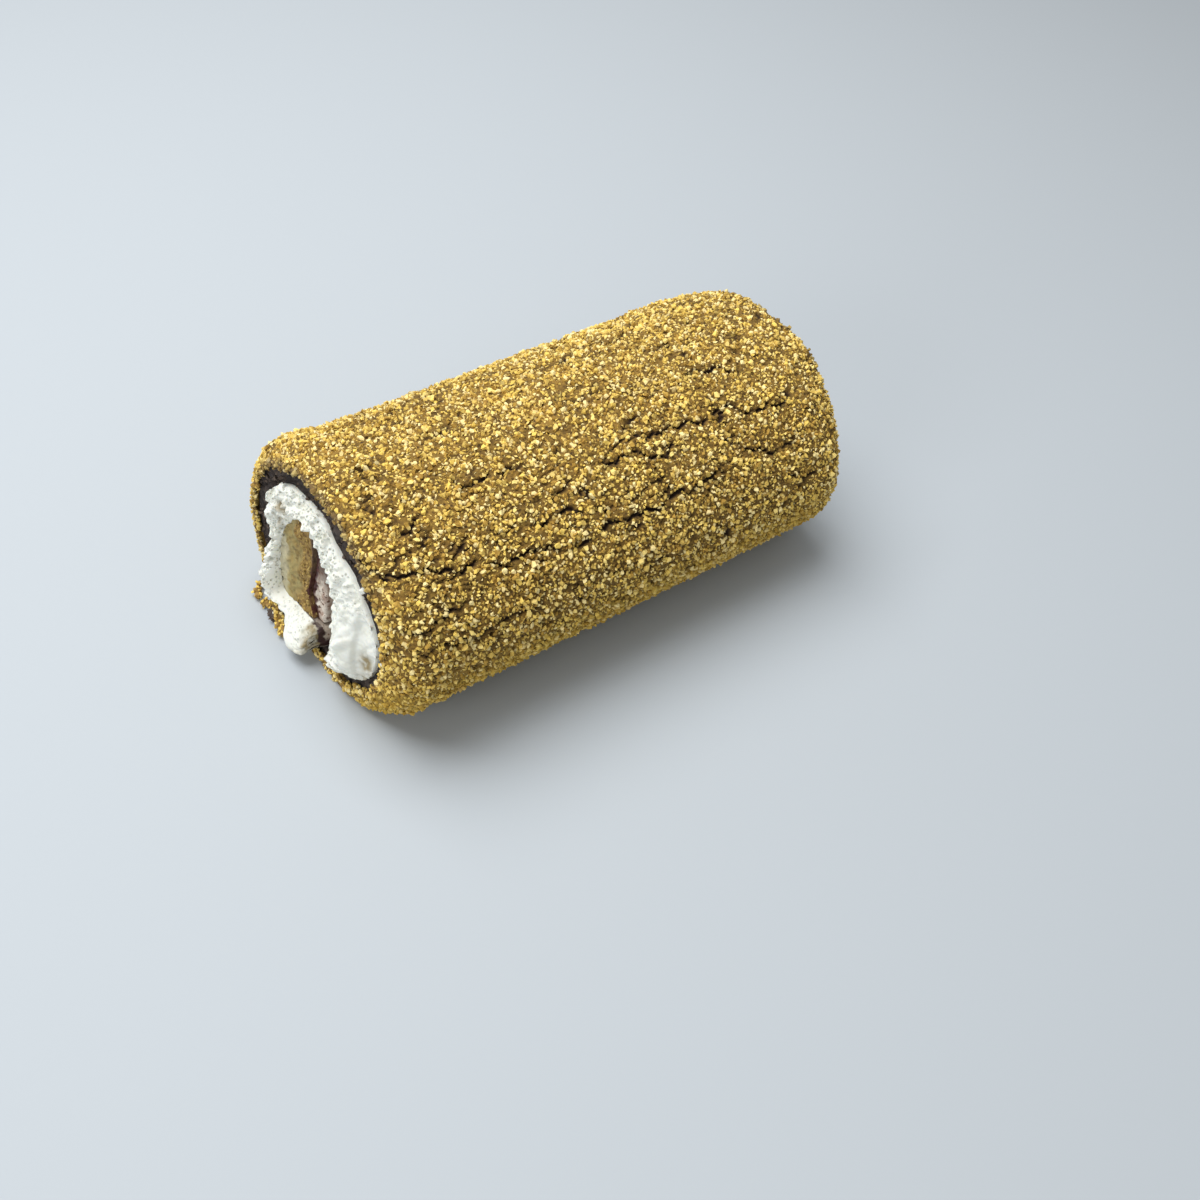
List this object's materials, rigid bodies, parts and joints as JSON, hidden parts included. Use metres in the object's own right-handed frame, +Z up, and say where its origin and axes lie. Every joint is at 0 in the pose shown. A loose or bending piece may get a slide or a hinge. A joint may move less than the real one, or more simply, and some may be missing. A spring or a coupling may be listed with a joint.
{
  "type": "swiss roll cake",
  "caption": "Crumb-coated swiss roll, cut at both ends, with chocolate sponge, whipped cream, a golden sponge slab and red jam; rests on its flat underside.",
  "frame": {"origin": "on the flat underside, at the middle of the roll's length and width", "axes": "+X along the roll towards its rounder far end, +Y to the left seen from the near end, +Z up"},
  "size_m": [0.1628, 0.0831, 0.0651],
  "materials": {
    "crumb_coat": "dry golden cake crumbs, rough and matt",
    "chocolate_sponge": "dark open-crumbed chocolate sponge, matt with a faint moist sheen",
    "whipped_cream": "soft white whipped cream with fine pits, satin where it was smoothed",
    "golden_sponge": "golden brown crumbly sponge, matt",
    "red_jam": "dark red jam, moist and slightly glossy"
  },
  "bodies": {
    "root": {"crumb_coat": "crumb_coat", "chocolate_sponge": "chocolate_sponge", "whipped_cream": "whipped_cream", "golden_sponge": "golden_sponge", "red_jam": "red_jam"}
  },
  "joints": []
}
